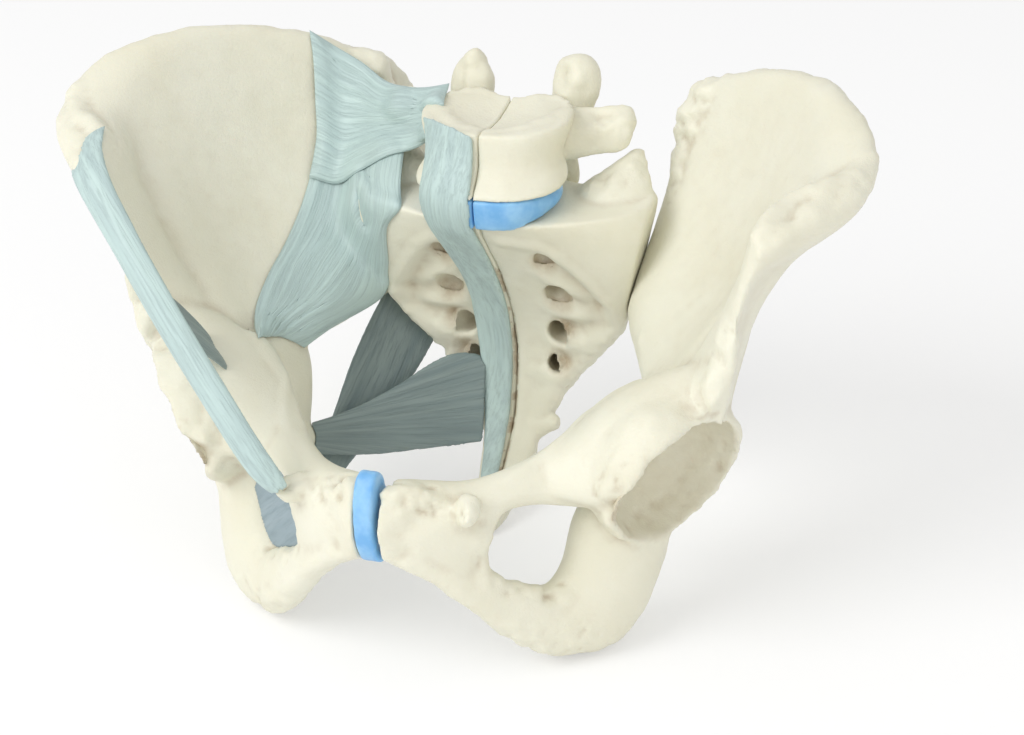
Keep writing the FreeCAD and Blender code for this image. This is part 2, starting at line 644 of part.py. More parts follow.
def iliolumbar():
    rows = [
        [(80, 89, 146), (77, 89, 135), (75, 90.5, 121), (73, 91, 108), (72.5, 88, 94)],
        [(72, 93.5, 141), (69, 95, 130), (67, 95.5, 117), (64.5, 95, 104), (63, 92, 93)],
        [(61, 95, 135), (59, 95, 127), (57, 94.5, 117), (55, 93, 108), (53, 90, 99)],
        [(50, 92, 129.5), (49, 91.5, 123), (47, 90, 117), (45, 88, 111), (43, 86, 105)],
        [(40, 87, 128), (38, 86, 123), (36, 85, 118), (34, 83, 113.5), (32, 81, 109)],
        [(31, 83.5, 128), (29.5, 82, 123), (28, 81, 118.5), (26.5, 80, 114.5), (25, 79, 111)],
    ]
    rows = [[point(*place) for place in row] for row in rows]
    return closed_sheet(rows, read("ligament_thickness"), unit(Vector(-0.3, -0.95, 0.1)))


def anterior_longitudinal(bones):
    rows = [
        [(0.4, 57, 113.5), (8, 58, 114), (16, 63, 117), (23.5, 70.5, 120.5)],
        [(0.4, 59.5, 104), (8, 60, 104), (16, 63, 105), (22.5, 70, 107)],
        [(0.4, 59, 94), (8, 59, 94), (17, 62, 95), (24, 68, 96.5)],
        [(0.4, 62, 85), (8, 62, 85.5), (17, 65, 87), (24.5, 70, 89)],
        [(0.4, 72, 78.5), (7, 72, 79), (14, 73, 79.5), (20.5, 75.5, 80.5)],
        [(0.4, 84, 73), (6, 83.5, 73.5), (11.5, 83.5, 74), (17, 84, 74)],
        [(0.4, 96, 67), (5, 95.5, 67.5), (9.5, 95, 68), (14, 95, 68)],
        [(0.4, 108, 59.5), (4.5, 107.5, 60), (8.5, 107, 60.5), (12.5, 106.5, 61)],
        [(0.4, 118, 49.5), (4.5, 117.5, 50), (8.5, 117, 50.5), (12.5, 116.5, 51)],
        [(0.4, 123.5, 39), (4, 123.5, 39), (8, 123, 39.5), (11.5, 122.5, 40)],
        [(0.4, 126.5, 26), (3.5, 126.5, 26), (6.5, 126, 26), (9.5, 125.5, 26)],
        [(0.4, 126, 12), (3.5, 126, 12), (6.5, 125.5, 12), (9, 125, 12)],
        [(0.4, 121, -3), (3, 121, -3), (5, 121, -3), (7, 121, -3)],
        [(0.4, 117, -12), (2, 117, -12), (3.5, 117, -12), (5, 117, -12)],
    ]
    return blanket(rows, unit(Vector(0, -0.9, -0.2)), bones, 0.8 * read("ligament_thickness"))


def sacrospinous():
    rows = [
        [(61, 87, 9), (61, 87.5, 6), (61, 88, 2), (61, 88.5, -2)],
        [(55, 92, 12), (55, 92.5, 7), (55, 93, 2), (55, 94, -2)],
        [(46, 99, 18), (46, 100, 12), (46, 101, 4), (46, 102, -1)],
        [(36, 107, 27), (35.5, 108, 18), (35, 109, 9), (34.5, 110, 2)],
        [(26, 113, 38), (25, 115, 27), (24, 116.5, 15), (23.5, 118, 5)],
        [(18, 117.5, 42), (17, 119.5, 31), (16, 121, 18), (15.5, 122, 7)],
        [(11, 121, 40), (10.5, 123, 29), (10, 124, 18), (9.5, 123.5, 9)],
    ]
    rows = [[point(*place) for place in row] for row in rows]
    return closed_sheet(rows, read("ligament_thickness"), unit(Vector(-0.5, -0.85, 0)))


def sacrotuberous():
    rows = [
        [(47, 121, 70), (43, 124, 64), (38, 127, 56), (33, 130, 48)],
        [(52, 117, 58), (47, 120, 53), (41, 124, 46), (35, 127, 38)],
        [(56, 112, 42), (51, 116, 37), (45.5, 119, 31), (40, 121.5, 24)],
        [(58.5, 106, 24), (54.5, 109, 19), (50.5, 112, 14), (46, 114, 8)],
        [(60, 100, 2), (58, 101, -2), (56, 102, -6), (54, 103, -10)],
        [(64, 91, -16), (63, 91.5, -19), (61.5, 92, -22), (60, 92, -26)],
        [(67, 82, -29), (66, 82, -32.5), (64.5, 81.5, -36), (63, 81, -39)],
        [(68.5, 74, -35), (67, 74, -38.5), (65.5, 73.5, -42), (64, 73, -45)],
    ]
    rows = [[point(*place) for place in row] for row in rows]
    return closed_sheet(rows, 1.2 * read("ligament_thickness"), unit(Vector(-0.5, -0.85, 0)))


def inguinal():
    stations = [((120.5, 14.5, 95), 7, 2.4), ((118, 7, 89), 7, 2.6), ((112, 2.5, 80.5), 6, 2.6),
                ((100, -0.5, 67), 5.2, 2.6), ((85, -2, 49.5), 5, 2.6), ((68, -2.5, 29.5), 5, 2.6),
                ((51, -2.5, 10.5), 4.8, 2.4), ((39, -1.5, -3.5), 4.8, 2.4), ((33, 1, -9.5), 4.2, 2.4),
                ((30.5, 3.5, -12), 2.4, 1.6)]
    along = unit(point(31.8, 1, -9.6) - point(115.5, 6.7, 83.3))
    thick = unit(Vector(0.1, -1, 0.1) - along * Vector(0.1, -1, 0.1).dot(along))
    wide = along.cross(thick)
    return skin([oval(point(*place), wide * broad, thick * deep) for place, broad, deep in stations])


def iliopectineal_arch():
    rows = [
        [(84, -2, 47.5), (79, -2, 41.5), (74, -2, 35.5), (69, -2, 29.5)],
        [(83, 8, 46), (78, 8.5, 40), (73, 9, 34), (68, 9, 28)],
        [(81, 18, 42), (77, 19, 36), (72, 20, 31), (67, 20, 25)],
        [(78, 28, 36), (75, 29, 31), (71, 30, 26.5), (66, 30, 22)],
        [(76, 37, 30), (73, 38, 26), (69, 39, 23), (65, 39, 19)],
    ]
    rows = [[point(*place) for place in row] for row in rows]
    return closed_sheet(rows, 0.7 * read("ligament_thickness"), unit(Vector(-0.6, 0, 0.8)))


def posterior_sacroiliac():
    stations = [((47, 141, 98), 15, 4), ((40, 142, 95), 15, 4.5), ((30, 139, 91), 14, 4.5),
                ((20, 134, 88), 12, 4), ((12, 129, 86), 10, 3.5)]
    tall = unit(Vector(0, 0.35, -0.94))
    thick = unit(Vector(0.1, 0.94, 0.35))
    return skin([oval(point(*place), tall * high, thick * deep) for place, high, deep in stations])


def obturator_membrane():
    outline = [(46, 27, -1), (56, 37, -9), (61, 46, -18), (58, 48, -30), (50, 46, -38), (40, 37, -37),
               (28, 26, -33), (28, 22, -20), (33, 19, -7)]
    thick = read("membrane_thickness")
    normal = unit(ARCH_BACK)
    middle = point(44, 33, -18)
    flat = [point(*place) for place in outline]
    flat = [spot - normal * (spot - middle).dot(normal) for spot in flat]
    curve = Part.BSplineCurve()
    curve.interpolate(flat, True)
    face = Part.Face(Part.Wire([curve.toShape()]))
    return face.extrude(normal * thick)


# Steel dowels across the split

DOWEL_PLACES = [(80, 90), (110, 70), (79, 104)]


def dowel(place, radius, reach):
    return Part.makeCylinder(radius, 2 * reach, point(0, *place) - Vector(reach, 0, 0), Vector(1, 0, 0))


def half_of(shape, side):
    """The left or right half of a piece that is split along the median plane."""
    gap = read("split_gap") / 2.0
    return biggest(shape.cut(half_space(Vector(side * gap, 0, 0), Vector(-side, 0, 0))))


def build_all():
    """Every piece of the model in the standing frame, by name."""
    gap = read("joint_gap") / 2.0
    near = Part.makeBox(120 * WIDTH_RATIO, 110 * DEPTH_RATIO, 130 * HEIGHT_RATIO, point(-30, 66, 38))
    hip = hip_bone()
    hip = biggest(hip.cut(near.common(half_space(JOINT_POINT + JOINT_NORMAL * gap, -JOINT_NORMAL))))
    outer = half_space(JOINT_POINT - JOINT_NORMAL * gap, JOINT_NORMAL)
    sacrum = biggest(whole_sacrum().cut([outer, mirrored(outer)]))
    disc = biggest(whole_disc().cut(sacrum))
    vertebra = biggest(whole_vertebra().cut(sacrum))
    reach = read("pin_length") / 2.0
    radius = read("pin_diameter") / 2.0
    bores = [dowel(place, radius + read("pin_clearance"), reach + 0.5) for place in DOWEL_PLACES]
    sacrum = sacrum.cut(bores)
    vertebra = vertebra.cut(bores)
    disc = disc.cut(bores)
    pieces = {}
    for name, whole in (("sacrum", sacrum), ("l5", vertebra), ("lumbosacral_disc", disc)):
        pieces["left_" + name] = half_of(whole, 1)
        pieces["right_" + name] = mirrored(pieces["left_" + name])
    pieces["left_hip_bone"] = hip
    pieces["right_hip_bone"] = mirrored(hip)
    pubic = symphysis_disc()
    pieces["symphysis_disc"] = biggest(pubic.cut([hip, mirrored(hip)]))
    pieces["locating_dowels"] = Part.Compound([dowel(place, radius, reach) for place in DOWEL_PLACES])
    left_sacrum = pieces["left_sacrum"]
    left_l5 = pieces["left_l5"]
    left_disc = pieces["left_lumbosacral_disc"]
    bones = Part.Compound([hip, left_sacrum])
    column = Part.Compound([left_l5, left_disc, left_sacrum])
    solids = [hip, left_sacrum, left_l5, left_disc]
    sheets = [
        ("anterior_longitudinal_ligament", anterior_longitudinal(column)),
        ("anterior_sacroiliac_ligament", anterior_sacroiliac(bones)),
        ("iliolumbar_ligament", iliolumbar()),
        ("sacrospinous_ligament", sacrospinous()),
        ("sacrotuberous_ligament", sacrotuberous()),
        ("inguinal_ligament", inguinal()),
        ("iliopectineal_arch", iliopectineal_arch()),
        ("posterior_sacroiliac_ligament", posterior_sacroiliac()),
        ("obturator_membrane", obturator_membrane()),
    ]
    done = []
    for name, sheet_solid in sheets:
        trimmed = sheet_solid
        for neighbour in solids + done:
            if trimmed.BoundBox.intersect(neighbour.BoundBox):
                trimmed = biggest(trimmed.cut(neighbour))
        done.append(trimmed)
        pieces[name] = mirrored(trimmed)
    return pieces


# The lean back onto the table, which every piece shares
REST = FreeCAD.Placement(Vector(0, read("rest_shift_y") * -1, read("rest_lift_z")),
                         FreeCAD.Rotation(Vector(1, 0, 0), -read("rest_tilt")))


def main():
    pieces = build_all()
    features = []
    for name, shape in pieces.items():
        feature = doc.addObject("Part::Feature", name)
        feature.Label = name
        feature.Shape = shape
        feature.Placement = REST.multiply(shape.Placement)
        features.append(feature)
    doc.recompute()
    os.makedirs("parts", exist_ok=True)
    for feature in features:
        bad = feature.Shape.isNull() or not feature.Shape.isValid()
        print(feature.Label, "bad" if bad else "ok", len(feature.Shape.Solids), round(feature.Shape.Volume))
        feature.Shape.exportStep("parts/%s.step" % feature.Label)


main()
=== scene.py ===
"""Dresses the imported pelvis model: cast resin bones, fibrous ligaments and clear blue discs.

Every bone starts from its own CAD solid: it is remeshed finely, its joins are smoothed as in a casting from
a real bone, and ridges, pits and rough borders are worked into the surface. The looks are all procedural.
Places are given in millimetres on the standing pelvis, with the left side's x for both sides of a pair.
"""
import math

import bpy
import numpy as np
from mathutils import Matrix, Vector
from mathutils.bvhtree import BVHTree


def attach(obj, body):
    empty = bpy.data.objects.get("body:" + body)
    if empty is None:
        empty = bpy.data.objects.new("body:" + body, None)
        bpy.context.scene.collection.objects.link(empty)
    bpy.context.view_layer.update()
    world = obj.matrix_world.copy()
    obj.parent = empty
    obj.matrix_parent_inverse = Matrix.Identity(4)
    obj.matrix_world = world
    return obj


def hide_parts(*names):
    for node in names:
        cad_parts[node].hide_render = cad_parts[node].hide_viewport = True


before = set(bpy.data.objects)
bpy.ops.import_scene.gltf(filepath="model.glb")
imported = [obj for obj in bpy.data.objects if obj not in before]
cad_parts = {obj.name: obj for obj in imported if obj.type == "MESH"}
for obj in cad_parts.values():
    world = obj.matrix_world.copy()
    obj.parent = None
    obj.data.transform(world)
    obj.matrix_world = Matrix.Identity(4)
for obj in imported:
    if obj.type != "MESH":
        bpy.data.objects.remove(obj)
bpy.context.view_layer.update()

MM = 0.001

# The bones lean back on the table: standing frame in millimetres to scene frame in metres
TILT = math.radians(30)
SHIFT_Y = -86.45
LIFT_Z = 76.75
STANDING = np.array([[1, 0, 0], [0, math.cos(TILT), -math.sin(TILT)], [0, math.sin(TILT), math.cos(TILT)]])


def placed(points):
    """Points of the standing pelvis, in millimetres, as they lie in the scene, in metres."""
    rows = np.atleast_2d(np.array(points, float))
    turned = rows @ STANDING
    return (turned + np.array([0, SHIFT_Y, LIFT_Z])) * MM


def standing(co):
    """Points of the scene, in metres, in the standing pelvis's millimetres."""
    return (co / MM - np.array([0, SHIFT_Y, LIFT_Z])) @ STANDING.T


# Meshes as arrays

def coords(obj):
    co = np.zeros(len(obj.data.vertices) * 3, np.float32)
    obj.data.vertices.foreach_get("co", co)
    return co.reshape(-1, 3).astype(float)


def set_coords(obj, co):
    obj.data.vertices.foreach_set("co", co.astype(np.float32).ravel())
    obj.data.update()


def normals(obj):
    no = np.zeros(len(obj.data.vertices) * 3, np.float32)
    obj.data.vertex_normals.foreach_get("vector", no)
    return no.reshape(-1, 3).astype(float)


def edges_of(obj):
    ends = np.zeros(len(obj.data.edges) * 2, np.int64)
    obj.data.edges.foreach_get("vertices", ends)
    return ends.reshape(-1, 2)


def averaged(values, edges, rounds):
    """Each vertex's value, blended with its neighbours' a number of times."""
    count = len(values)
    first, second = edges[:, 0], edges[:, 1]
    degree = np.bincount(first, minlength=count) + np.bincount(second, minlength=count)
    degree = np.maximum(degree, 1).astype(float)
    flat = values.ndim == 1
    rows = values.reshape(count, -1).astype(float)
    for _ in range(rounds):
        total = np.empty_like(rows)
        for axis in range(rows.shape[1]):
            column = rows[:, axis]
            total[:, axis] = (np.bincount(first, column[second], minlength=count)
                              + np.bincount(second, column[first], minlength=count))
        rows = 0.5 * rows + 0.5 * total / degree[:, None]
    return rows[:, 0] if flat else rows


def lattice(points, seed):
    """A smooth random field between -1 and 1 with a grain of one unit."""
    rng = np.random.default_rng(seed)
    table = rng.uniform(-1, 1, 4096)
    cell = np.floor(points).astype(np.int64)
    part = points - cell
    part = part * part * (3 - 2 * part)
    total = np.zeros(len(points))
    for corner in range(8):
        step = np.array([corner & 1, (corner >> 1) & 1, (corner >> 2) & 1])
        spot = cell + step
        index = (spot[:, 0] * 73856093 ^ spot[:, 1] * 19349663 ^ spot[:, 2] * 83492791) & 4095
        weight = np.ones(len(points))
        for axis in range(3):
            weight *= part[:, axis] if step[axis] else 1 - part[:, axis]
        total += weight * table[index]
    return total


def grain(points, size, seed, octaves=3):
    """Layered random relief: points in millimetres, size of the largest lumps in millimetres."""
    total = np.zeros(len(points))
    strength = 1.0
    for level in range(octaves):
        total += strength * lattice(points / size + 17.3 * level, seed + level)
        size *= 0.5
        strength *= 0.55
    return total


def distance_to_line(points, line):
    """Distance of each point from a run of straight pieces."""
    best = np.full(len(points), 1e9)
    for start, end in zip(line[:-1], line[1:]):
        along = end - start
        share = np.clip(((points - start) @ along) / max(along @ along, 1e-9), 0, 1)
        gap = np.linalg.norm(start + share[:, None] * along - points, axis=1)
        best = np.minimum(best, gap)
    return best


def fade(distance, reach):
    """1 on the spot, falling smoothly to 0 at a distance."""
    share = np.clip(1 - distance / reach, 0, 1)
    return share * share * (3 - 2 * share)


# Limits of the putty that fills the creases, and how the midline cut is drawn together, in millimetres
DEEPEST_CUT = 0.15
HIGHEST_FILL = 6.0
CUT_REACH = 3.0
CUT_CLOSING = 0.16


class Carving:
    """One bone being worked: its vertices in the standing frame, and the relief that is added to them."""

    def __init__(self, obj, side=1):
        self.obj = obj
        self.side = side
        self.co = coords(obj)
        self.points = standing(self.co)
        self.points[:, 0] *= side
        self.edges = edges_of(obj)
        self.normals = normals(obj)
        turned = self.normals @ STANDING.T
        turned[:, 0] *= side
        self.facing = turned
        self.relief = np.zeros(len(self.co))
        # Brown darkening per vertex: real stain along the joint line and midline cut, painted shade in
        # hollows, holes, pits and grooves
        self.stain_and_shade = np.zeros(len(self.co))

    def faces(self, towards, gain):
        """How much each spot faces a direction, from 0 to 1."""
        way = np.array(towards, float)
        way /= np.linalg.norm(way)
        return np.clip(gain * (self.facing @ way), 0, 1)

    def swell(self, centre, reach, amount, towards=None):
        """Raises (or sinks) a round spot; towards restricts it to the side that faces that way."""
        gap = np.linalg.norm(self.points - np.array(centre, float), axis=1)
        weight = fade(gap, reach)
        if towards is not None:
            weight *= self.faces(towards, 1)
        self.relief += amount * weight

    def line(self, path, reach, amount, towards=None):
        """Raises a ridge, or with a negative amount cuts a groove, along a path."""
        gap = distance_to_line(self.points, np.array(path, float))
        weight = fade(gap, reach)
        if towards is not None:
            weight *= self.faces(towards, 2)
        self.relief += amount * weight

    def rough(self, weight, size, depth, seed, octaves=3):
        self.relief += weight * depth * grain(self.points, size, seed, octaves)

    def near(self, path, reach):
        return fade(distance_to_line(self.points, np.array(path, float)), reach)

    # Darkens towards brown: real stain for some marks, painted shade for others
    def darken(self, weight):
        self.stain_and_shade = np.maximum(self.stain_and_shade, weight)

    def spots(self, places, reach, amount):
        for place in places:
            self.swell(place, reach, amount)

    def putty(self, centre, reach, rounds):
        """Fills the creases between forms near a place, and leaves its ridges."""
        gap = np.linalg.norm(self.points - np.array(centre, float), axis=1)
        inside = gap < reach * 1.3
        used = np.nonzero(inside)[0]
        index = np.full(len(self.points), -1)
        index[used] = np.arange(len(used))
        keep = inside[self.edges[:, 0]] & inside[self.edges[:, 1]]
        local = index[self.edges[keep]]
        soft = averaged(self.co[used], local, rounds)
        rise = np.einsum("ij,ij->i", soft - self.co[used], self.normals[used])
        rise = np.clip(rise, -DEEPEST_CUT * MM, HIGHEST_FILL * MM) * fade(gap[used], reach)
        self.co[used] += self.normals[used] * rise[:, None]

    def close_cut(self):
        """Draws the two halves' cut faces together to a fine line."""
        near = fade(np.abs(self.points[:, 0]), CUT_REACH)
        self.co[:, 0] -= self.side * CUT_CLOSING * MM * near

    def finish(self, rounds=1, darken=0.6):
        relief = averaged(self.relief, self.edges, rounds) if rounds else self.relief
        self.co = self.co + self.normals * (relief * MM)[:, None]
        set_coords(self.obj, self.co)
        # Painted shade: the hollows and creases are darkened by their depth
        self.darken(darken * hollow_shade(self.obj, self.edges))
        store(self.obj, "stain_and_shade", self.stain_and_shade)


def hollow_shade(obj, edges):
    """How far each spot lies below the surface round it, used as painted shade in its hollows and creases."""
    co = coords(obj)
    no = normals(obj)
    soft = averaged(co, edges, 24)
    depth = np.einsum("ij,ij->i", soft - co, no) / MM
    fine = averaged(co, edges, 4)
    small = np.einsum("ij,ij->i", fine - co, no) / MM
    return np.clip(0.75 * depth + 1.6 * small, 0, 1)


def store(obj, name, values):
    layer = obj.data.attributes.new(name, "FLOAT", "POINT")
    layer.data.foreach_set("value", values.astype(np.float32))


def store_vector(obj, name, rows):
    layer = obj.data.attributes.new(name, "FLOAT_VECTOR", "POINT")
    layer.data.foreach_set("vector", rows.astype(np.float32).ravel())


# Copies of the CAD solids

def copy_of(node, name):
    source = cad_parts[node]
    obj = bpy.data.objects.new(name, source.data.copy())
    bpy.context.scene.collection.objects.link(obj)
    obj.data.materials.clear()
    return obj


def applied(obj):
    graph = bpy.context.evaluated_depsgraph_get()
    mesh = bpy.data.meshes.new_from_object(obj.evaluated_get(graph))
    obj.modifiers.clear()
    old = obj.data
    obj.data = mesh
    bpy.data.meshes.remove(old)
    return obj


def remeshed(obj, voxel, smoothing, factor=0.5):
    """A fine even mesh over the solid, with the joins between its forms rounded off."""
    mod = obj.modifiers.new("Remesh", "REMESH")
    mod.mode = "VOXEL"
    mod.voxel_size = voxel * MM
    mod.use_smooth_shade = True
    applied(obj)
    smooth = obj.modifiers.new("Smooth", "SMOOTH")
    smooth.factor = factor
    smooth.iterations = smoothing
    applied(obj)
    return obj


def dressed(node, material, slot_name, voxel, smoothing):
    obj = copy_of(node, "shown_" + node)
    remeshed(obj, voxel, smoothing)
    obj.data.materials.append(material)
    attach(obj, "root")
    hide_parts(node)
    return obj


# Materials

IVORY = (0.80, 0.755, 0.63)
IVORY_LIGHT = (0.80, 0.785, 0.655)
IVORY_DEEP = (0.755, 0.73, 0.585)
SPECK_BROWN = (0.52, 0.42, 0.28)
# Brown of the real stains and of the painted shade in hollows
STAIN_AND_SHADE_BROWN = (0.36, 0.245, 0.13)
LIGAMENT_LIGHT = (0.51, 0.645, 0.62)
LIGAMENT_DEEP = (0.44, 0.56, 0.55)
# Painted shade: darker copies of the ligament colours for the ligaments that lie in shade
SHADED_LIGHT = (0.26, 0.325, 0.32)
SHADED_DEEP = (0.19, 0.25, 0.255)
MEMBRANE_LIGHT = (0.30, 0.38, 0.42)
MEMBRANE_DEEP = (0.25, 0.33, 0.37)
DISC_BLUE = (0.20, 0.47, 0.78)
DISC_DEEP = (0.17, 0.43, 0.76)
DISC_LIGHT = (0.30, 0.57, 0.85)
STEEL_GREY = (0.6, 0.6, 0.6)
PAPER_WHITE = (0.98, 0.98, 0.98)


def new_material(name, colour, roughness):
    mat = bpy.data.materials.new(name)
    mat.use_nodes = True
    shader = mat.node_tree.nodes["Principled BSDF"]
    shader.inputs["Base Color"].default_value = (*colour, 1)
    shader.inputs["Roughness"].default_value = roughness
    return mat, mat.node_tree, shader


def attribute(tree, name):
    node = tree.nodes.new("ShaderNodeAttribute")
    node.attribute_name = name
    return node


def noise_node(tree, vector, scale, detail=4.0, roughness=0.55):
    node = tree.nodes.new("ShaderNodeTexNoise")
    node.inputs["Scale"].default_value = scale
    node.inputs["Detail"].default_value = detail
    node.inputs["Roughness"].default_value = roughness
    tree.links.new(vector, node.inputs["Vector"])
    return node.outputs["Fac"]


def mixed(tree, factor, first, second):
    """Blends two colours; each is a socket or a tuple, and so is the factor."""
    node = tree.nodes.new("ShaderNodeMix")
    node.data_type = "RGBA"
    for socket, value in ((node.inputs[0], factor), (node.inputs[6], first), (node.inputs[7], second)):
        if isinstance(value, (tuple, float)):
            socket.default_value = (*value, 1) if isinstance(value, tuple) else value
        else:
            tree.links.new(value, socket)
    return node.outputs[2]


def ranged(tree, value, low, high, out_low, out_high):
    node = tree.nodes.new("ShaderNodeMapRange")
    for name, number in (("From Min", low), ("From Max", high), ("To Min", out_low), ("To Max", out_high)):
        node.inputs[name].default_value = number
    tree.links.new(value, node.inputs["Value"])
    return node.outputs["Result"]


def bumped(tree, shader, height, strength, distance):
    node = tree.nodes.new("ShaderNodeBump")
    node.inputs["Strength"].default_value = strength
    node.inputs["Distance"].default_value = distance
    tree.links.new(height, node.inputs["Height"])
    tree.links.new(node.outputs["Normal"], shader.inputs["Normal"])
    return node


def bone_material():
    mat, tree, shader = new_material("cast_bone", IVORY, 0.48)
    place = tree.nodes.new("ShaderNodeTexCoord").outputs["Object"]
    broad = noise_node(tree, place, 22.0, 3.0)
    pores = noise_node(tree, place, 900.0, 5.0, 0.65)
    specks = noise_node(tree, place, 260.0, 5.0, 0.6)
    clean = mixed(tree, ranged(tree, broad, 0.35, 0.65, 0.0, 1.0), IVORY_LIGHT, IVORY_DEEP)
    speckled = mixed(tree, ranged(tree, specks, 0.60, 0.80, 0.0, 0.12), clean, SPECK_BROWN)
    # Brown of the real stains and the painted shade in hollows, broken up by the specks
    stain_and_shade = attribute(tree, "stain_and_shade").outputs["Fac"]
    broken = tree.nodes.new("ShaderNodeMath")
    broken.operation = "MULTIPLY"
    tree.links.new(stain_and_shade, broken.inputs[0])
    tree.links.new(ranged(tree, specks, 0.30, 0.62, 0.45, 1.0), broken.inputs[1])
    colour = mixed(tree, broken.outputs[0], speckled, STAIN_AND_SHADE_BROWN)
    tree.links.new(colour, shader.inputs["Base Color"])
    tree.links.new(ranged(tree, broad, 0.3, 0.7, 0.38, 0.52), shader.inputs["Roughness"])
    shader.inputs["Subsurface Weight"].default_value = 0.06
    shader.inputs["Subsurface Radius"].default_value = (1.0, 0.7, 0.4)
    shader.inputs["Subsurface Scale"].default_value = 0.003
    bumped(tree, shader, pores, 0.35, 0.0006)
    return mat


def fibre_material(name, light, dark, roughness, strength):
    """Moulded fibres: the attribute 'fibre' holds millimetres along and across them."""
    mat, tree, shader = new_material(name, light, roughness)
    vector = attribute(tree, "fibre").outputs["Vector"]
    stretch = tree.nodes.new("ShaderNodeVectorMath")
    stretch.operation = "MULTIPLY"
    stretch.inputs[1].default_value = (0.03, 1.0, 1.0)
    tree.links.new(vector, stretch.inputs[0])
    threads = noise_node(tree, stretch.outputs["Vector"], 1.5, 3.0, 0.6)
    bundles = noise_node(tree, stretch.outputs["Vector"], 0.35, 3.0, 0.5)
    grooves = ranged(tree, threads, 0.35, 0.52, 0.0, 1.0)
    tone = mixed(tree, ranged(tree, bundles, 0.35, 0.65, 0.0, 1.0), dark, light)
    # Painted shade: the grooves between threads are coloured darker as well as bumped
    lined = mixed(tree, ranged(tree, grooves, 0.0, 1.0, 0.24, 0.0), tone, tuple(0.55 * part for part in dark))
    tree.links.new(lined, shader.inputs["Base Color"])
    bumped(tree, shader, grooves, strength, 0.0005)
    return mat


def disc_material():
    mat, tree, shader = new_material("clear_disc", DISC_BLUE, 0.34)
    place = tree.nodes.new("ShaderNodeTexCoord").outputs["Object"]
    cloud = noise_node(tree, place, 140.0, 3.0)
    colour = mixed(tree, ranged(tree, cloud, 0.35, 0.65, 0.0, 1.0), DISC_DEEP, DISC_LIGHT)
    tree.links.new(colour, shader.inputs["Base Color"])
    shader.inputs["Subsurface Weight"].default_value = 0.15
    shader.inputs["Subsurface Radius"].default_value = (0.3, 0.6, 1.0)
    shader.inputs["Subsurface Scale"].default_value = 0.003
    return mat


BONE = bone_material()
LIGAMENT = fibre_material("ligament", LIGAMENT_LIGHT, LIGAMENT_DEEP, 0.42, 0.4)
# Painted shade: the ligament material again in darker colours
SHADED_LIGAMENT = fibre_material("shaded_ligament", SHADED_LIGHT, SHADED_DEEP, 0.45, 0.4)
MEMBRANE = fibre_material("membrane", MEMBRANE_LIGHT, MEMBRANE_DEEP, 0.5, 0.2)
DISC = disc_material()
STEEL = new_material("steel", STEEL_GREY, 0.3)[0]


# Bones

CREST = [(114, 3, 83), (120, 9, 91), (129, 18, 100), (139, 29, 109), (141, 37, 121), (130, 50, 135),
         (113, 68, 145), (93, 87, 149), (73, 104, 147), (57, 119, 144), (50, 136, 127), (45, 148, 112),
         (44, 153, 102)]
HIND_BORDER = [(44, 153, 102), (46, 146, 88), (46, 138, 74), (50, 122, 62), (56, 108, 52)]
TUBEROSITY = [(72, 80, -14), (72, 76, -28), (68, 68, -40), (60, 60, -50), (50, 52, -53)]
LOWER_BRANCH = [(50, 52, -53), (38, 42, -49), (25, 28, -38), (12, 16, -30)]
SOCKET = np.array([85.5, 44.6, 8.0])
SOCKET_WAY = np.array([0.81, -0.23, -0.54])

# Where the source's forms join in a hip bone: centre, reach and rounds of smoothing
HIP_JOINS = [((70, 34, 12), 30, 70), ((86, 34, 30), 24, 60), ((96, 30, 36), 22, 50),
             ((88, 60, 26), 26, 50), ((70, 72, 0), 24, 40), ((72, 62, 40), 26, 50),
             ((30, 8, -10), 14, 25), ((61, 86, 4), 16, 25), ((60, 50, -20), 20, 30)]

# The pelvic nerve grooves of the sacrum with their depths, and the low ridges between them
NERVE_GROOVES = [([(19, 86, 73), (23, 88, 71), (28, 92, 67), (35, 100, 60)], 1.4),
                 ([(20, 103, 62), (26, 100, 61), (33, 102, 59)], 1.5),
                 ([(20, 111, 52), (27, 109, 53), (35, 106, 55)], 1.6),
                 ([(18, 119, 41), (24, 117, 41)], 1.2)]
SACRAL_RIDGES = [[(10, 84, 68), (20, 94, 66), (29, 98, 62)], [(8, 101, 57), (18, 106, 57), (28, 106, 57)],
                 [(8, 112, 47), (17, 115, 47), (26, 113, 48)], [(6, 121, 36), (16, 123, 36)]]

# Mesh size in millimetres and rounds of smoothing
HIP_MESH = (1.15, 5)
SACRUM_MESH = (0.9, 4)
VERTEBRA_MESH = (0.8, 4)
DISC_MESH = (0.7, 3)


def hip_bone(node, side, seed):
    """A hip bone, its joins filled and its borders roughened; side is 1 for the left, -1 for the right."""
    obj = dressed(node, BONE, "bone", *HIP_MESH)
    work = Carving(obj, side)
    for centre, reach, rounds in HIP_JOINS:
        work.putty(centre, reach, rounds)
    work.normals = normals(obj)
    work.rough(1.0, 14.0, 0.22, seed)
    work.rough(work.near(CREST, 11), 7.0, 0.9, seed + 10)
    work.rough(work.near(HIND_BORDER, 12), 8.0, 1.1, seed + 20)
    work.rough(work.near(TUBEROSITY, 20), 6.0, 0.7, seed + 30)
    work.rough(work.near(LOWER_BRANCH, 12), 8.0, 0.7, seed + 40)
    work.rough(work.near([(6, 4, -6), (6, 8, -16), (8, 15, -28)], 13), 5.0, 0.9, seed + 50)
    crest_lip(work, seed)
    socket_details(work, seed)
    pubic_details(work, seed)
    work.finish(1)


